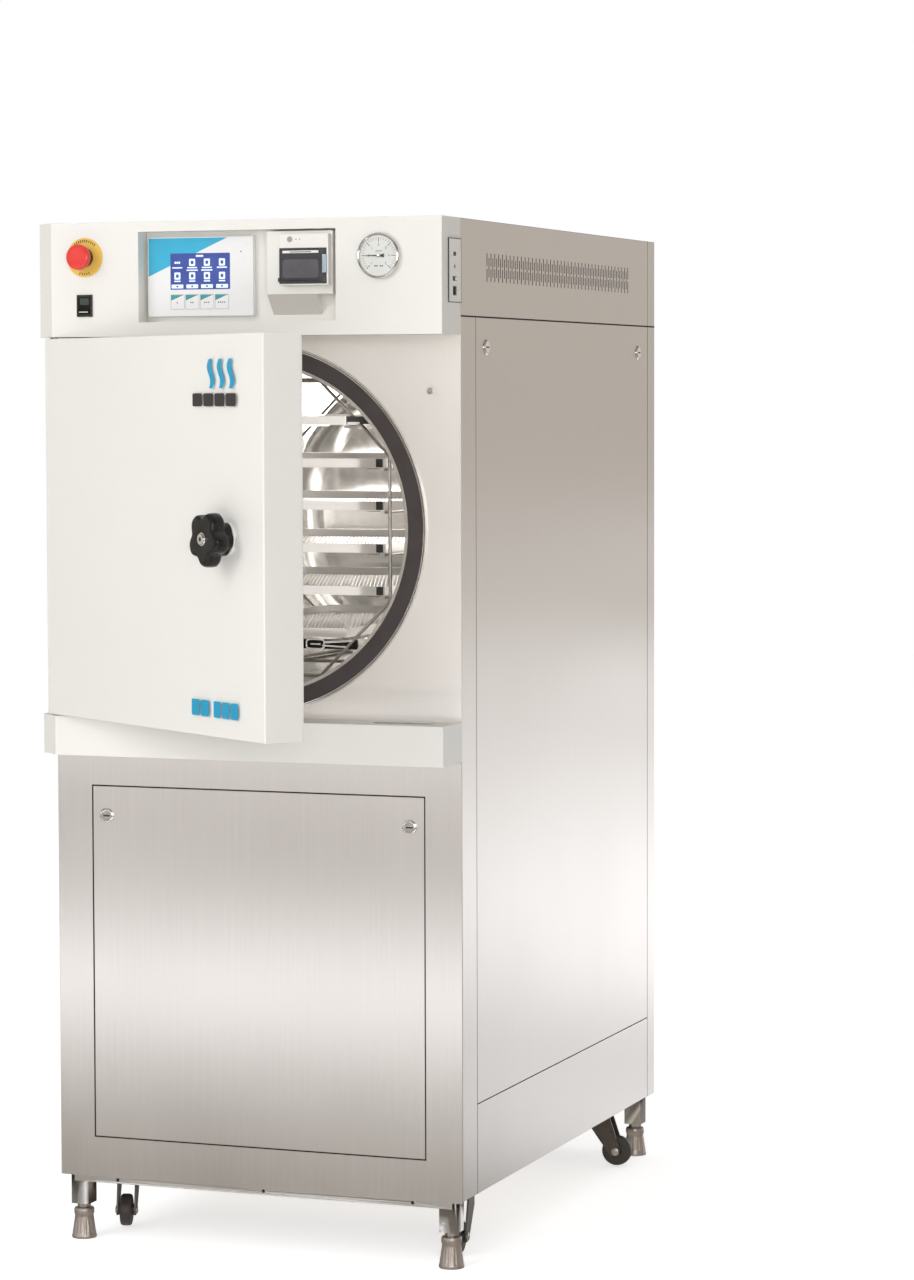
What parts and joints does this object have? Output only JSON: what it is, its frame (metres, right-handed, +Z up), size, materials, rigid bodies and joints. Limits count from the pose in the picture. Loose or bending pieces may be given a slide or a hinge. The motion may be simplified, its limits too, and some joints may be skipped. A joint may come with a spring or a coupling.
{
  "type": "floor-standing steam steriliser",
  "caption": "Cabinet steam steriliser with a round tray chamber, hinged door with knob-driven bolts, control fascia, levelling feet and castors",
  "frame": {"origin": "centre of the footprint of the whole object at rest, door 35 degrees open, on the floor under the levelling feet", "axes": "+Z up, +X to the right seen from the front, +Y from the door into the cabinet"},
  "size_m": [0.693, 1.4594, 1.627],
  "materials": {
    "frame_steel": "satin grey enamel",
    "stand_steel": "satin grey enamel",
    "brushed_panel": "vertical grain, satin",
    "front_plate_steel": "fine satin",
    "white_paint": "smooth semi-gloss powder coat",
    "chamber_steel": "polished inside",
    "tray_steel": "perforated, electropolished",
    "rack_wire": "electropolished wire",
    "lagging": "foil-faced mineral wool",
    "gasket_rubber": "matt silicone",
    "machine_steel": "satin",
    "motor_paint": "semi-gloss",
    "pipe_steel": "satin",
    "zinc_plate": "bright zinc",
    "touch_membrane": "satin membrane",
    "screen_blue": "lit display",
    "printer_case": "satin",
    "smoked_cover": "smoked, glossy",
    "chrome_trim": "polished",
    "dial_white": "printed dial",
    "gauge_glass": "clear",
    "needle_black": "matt",
    "port_black": "matt",
    "stop_yellow": "satin",
    "stop_red": "semi-gloss",
    "switch_black": "semi-gloss",
    "knob_black": "glossy phenolic",
    "bright_steel": "machined",
    "castor_zinc": "zinc plated",
    "castor_tyre": "grey-black rubber",
    "foot_steel": "cast, satin",
    "cyan_mark": "printed"
  },
  "bodies": {
    "cabinet": {"base_frame": "frame_steel", "vessel_stand": "stand_steel", "corner_posts": "brushed_panel", "side_skirts": "brushed_panel", "left_side_panel": "brushed_panel", "right_side_panel": "brushed_panel", "hood": "brushed_panel", "rear_panel": "brushed_panel", "lower_front_frame": "brushed_panel", "service_panel": "brushed_panel", "front_plate": "front_plate_steel", "fascia": "white_paint", "sill": "white_paint", "pressure_vessel": "chamber_steel", "insulation_jacket": "lagging", "door_gasket": "gasket_rubber", "steam_generator": "machine_steel", "vacuum_pump": "motor_paint", "pipework": "pipe_steel", "control_box": "zinc_plate", "touch_panel": "touch_membrane", "printer_body": "printer_case", "gauge_case": "chrome_trim", "port_plate": "port_black", "estop_plate": "stop_yellow", "switch_frame": "switch_black", "tray_rack": "rack_wire"},
    "door": {"door_shell": "white_paint", "door_back_panel": "front_plate_steel", "pressure_plate": "chamber_steel"},
    "knob": {"door_knob": "knob_black", "lock_shaft": "bright_steel"},
    "upper_bolt": {"upper_lock_bar": "bright_steel"},
    "lower_bolt": {"lower_lock_bar": "bright_steel"},
    "cover": {"printer_cover": "smoked_cover"},
    "needle": {"gauge_needle": "needle_black"},
    "stop_button": {"estop_button": "stop_red"},
    "rocker": {"switch_rocker": "switch_black"},
    "front_left_latch": {"front_left_lock": "chrome_trim"},
    "front_right_latch": {"front_right_lock": "chrome_trim"},
    "side_front_latch": {"side_front_lock": "chrome_trim"},
    "side_rear_latch": {"side_rear_lock": "chrome_trim"},
    "sliding_tray_1": {"tray_1": "tray_steel"},
    "sliding_tray_2": {"tray_2": "tray_steel"},
    "sliding_tray_3": {"tray_3": "tray_steel"},
    "sliding_tray_4": {"tray_4": "tray_steel"},
    "sliding_tray_5": {"tray_5": "tray_steel"},
    "sliding_tray_6": {"tray_6": "tray_steel"},
    "front_left_leveller": {"front_left_foot": "foot_steel"},
    "front_left_fork": {"front_left_castor_fork": "castor_zinc"},
    "front_left_wheel": {"front_left_castor_wheel": "castor_tyre"},
    "front_right_leveller": {"front_right_foot": "foot_steel"},
    "front_right_fork": {"front_right_castor_fork": "castor_zinc"},
    "front_right_wheel": {"front_right_castor_wheel": "castor_tyre"},
    "rear_left_leveller": {"rear_left_foot": "foot_steel"},
    "rear_left_fork": {"rear_left_castor_fork": "castor_zinc"},
    "rear_left_wheel": {"rear_left_castor_wheel": "castor_tyre"},
    "rear_right_leveller": {"rear_right_foot": "foot_steel"},
    "rear_right_fork": {"rear_right_castor_fork": "castor_zinc"},
    "rear_right_wheel": {"rear_right_castor_wheel": "castor_tyre"}
  },
  "joints": [
    {"name": "door_hinge", "type": "hinge", "parent": "cabinet", "child": "door", "pos_m": [-0.315, -0.33589, 1.151], "axis": [0, 0, -1], "range_deg": [-35, 75]},
    {"name": "knob_turn", "type": "hinge", "parent": "door", "child": "knob", "pos_m": [0.14209, -0.65594, 1.149], "axis": [0.5736, 0.8192, 0], "range_deg": [0, 90]},
    {"name": "upper_bolt_slide", "type": "slide", "parent": "door", "child": "upper_bolt", "axis": [0, 0, 1], "range_m": [0, 0.0252]},
    {"name": "lower_bolt_slide", "type": "slide", "parent": "door", "child": "lower_bolt", "axis": [0, 0, -1], "range_m": [0, 0.0252]},
    {"name": "printer_cover_hinge", "type": "hinge", "parent": "cabinet", "child": "cover", "pos_m": [0.1185, -0.36309, 1.533], "axis": [1, 0, 0], "range_deg": [0, 75]},
    {"name": "gauge_needle_turn", "type": "hinge", "parent": "cabinet", "child": "needle", "pos_m": [0.244, -0.36089, 1.568], "axis": [0, 1, 0], "range_deg": [-45, 225], "stiffness_Nm_per_rad": 0.002},
    {"name": "stop_button_press", "type": "slide", "parent": "cabinet", "child": "stop_button", "axis": [0, 1, 0], "range_m": [0, 0.005], "stiffness_N_per_m": 1500},
    {"name": "rocker_tilt", "type": "hinge", "parent": "cabinet", "child": "rocker", "pos_m": [-0.251, -0.35489, 1.4975], "axis": [1, 0, 0], "range_deg": [0, 16]},
    {"name": "front_left_lock_turn", "type": "hinge", "parent": "cabinet", "child": "front_left_latch", "pos_m": [-0.259, -0.27589, 0.689], "axis": [0, -1, 0], "range_deg": [0, 90]},
    {"name": "front_right_lock_turn", "type": "hinge", "parent": "cabinet", "child": "front_right_latch", "pos_m": [0.259, -0.27589, 0.689], "axis": [0, -1, 0], "range_deg": [-90, 0]},
    {"name": "side_front_lock_turn", "type": "hinge", "parent": "cabinet", "child": "side_front_latch", "pos_m": [0.345, -0.16189, 1.431], "axis": [1, 0, 0], "range_deg": [0, 90]},
    {"name": "side_rear_lock_turn", "type": "hinge", "parent": "cabinet", "child": "side_rear_latch", "pos_m": [0.345, 0.61211, 1.431], "axis": [1, 0, 0], "range_deg": [-90, 0]},
    {"name": "tray_1_slide", "type": "slide", "parent": "cabinet", "child": "sliding_tray_1", "axis": [0, -1, 0], "range_m": [0, 0.08]},
    {"name": "tray_2_slide", "type": "slide", "parent": "cabinet", "child": "sliding_tray_2", "axis": [0, -1, 0], "range_m": [0, 0.08]},
    {"name": "tray_3_slide", "type": "slide", "parent": "cabinet", "child": "sliding_tray_3", "axis": [0, -1, 0], "range_m": [0, 0.08]},
    {"name": "tray_4_slide", "type": "slide", "parent": "cabinet", "child": "sliding_tray_4", "axis": [0, -1, 0], "range_m": [0, 0.08]},
    {"name": "tray_5_slide", "type": "slide", "parent": "cabinet", "child": "sliding_tray_5", "axis": [0, -1, 0], "range_m": [0, 0.08]},
    {"name": "tray_6_slide", "type": "slide", "parent": "cabinet", "child": "sliding_tray_6", "axis": [0, -1, 0], "range_m": [0, 0.08]},
    {"name": "front_left_foot_screw", "type": "slide", "parent": "cabinet", "child": "front_left_leveller", "axis": [0, 0, -1], "range_m": [0, 0.02]},
    {"name": "front_left_swivel", "type": "hinge", "parent": "cabinet", "child": "front_left_fork", "pos_m": [-0.292, -0.13589, 0.096], "axis": [0, 0, 1], "continuous": true},
    {"name": "front_left_wheel_spin", "type": "hinge", "parent": "front_left_fork", "child": "front_left_wheel", "pos_m": [-0.28357, -0.16259, 0.029], "axis": [0.9536, 0.3011, 0], "continuous": true},
    {"name": "front_right_foot_screw", "type": "slide", "parent": "cabinet", "child": "front_right_leveller", "axis": [0, 0, -1], "range_m": [0, 0.02]},
    {"name": "front_right_swivel", "type": "hinge", "parent": "cabinet", "child": "front_right_fork", "pos_m": [0.292, -0.13589, 0.096], "axis": [0, 0, 1], "continuous": true},
    {"name": "front_right_wheel_spin", "type": "hinge", "parent": "front_right_fork", "child": "front_right_wheel", "pos_m": [0.29481, -0.16375, 0.029], "axis": [0.9949, 0.1005, 0], "continuous": true},
    {"name": "rear_left_foot_screw", "type": "slide", "parent": "cabinet", "child": "rear_left_leveller", "axis": [0, 0, -1], "range_m": [0, 0.02]},
    {"name": "rear_left_swivel", "type": "hinge", "parent": "cabinet", "child": "rear_left_fork", "pos_m": [-0.292, 0.56911, 0.096], "axis": [0, 0, 1], "continuous": true},
    {"name": "rear_left_wheel_spin", "type": "hinge", "parent": "rear_left_fork", "child": "rear_left_wheel", "pos_m": [-0.3088, 0.59151, 0.029], "axis": [-0.8, -0.6, 0], "continuous": true},
    {"name": "rear_right_foot_screw", "type": "slide", "parent": "cabinet", "child": "rear_right_leveller", "axis": [0, 0, -1], "range_m": [0, 0.02]},
    {"name": "rear_right_swivel", "type": "hinge", "parent": "cabinet", "child": "rear_right_fork", "pos_m": [0.292, 0.56911, 0.096], "axis": [0, 0, 1], "continuous": true},
    {"name": "rear_right_wheel_spin", "type": "hinge", "parent": "rear_right_fork", "child": "rear_right_wheel", "pos_m": [0.31986, 0.5719, 0.029], "axis": [-0.0995, 0.995, 0], "continuous": true}
  ],
  "couplings": [
    {"joint": "upper_bolt_slide", "follows": "knob_turn", "m_per_rad": 0.016},
    {"joint": "lower_bolt_slide", "follows": "knob_turn", "m_per_rad": 0.016}
  ]
}
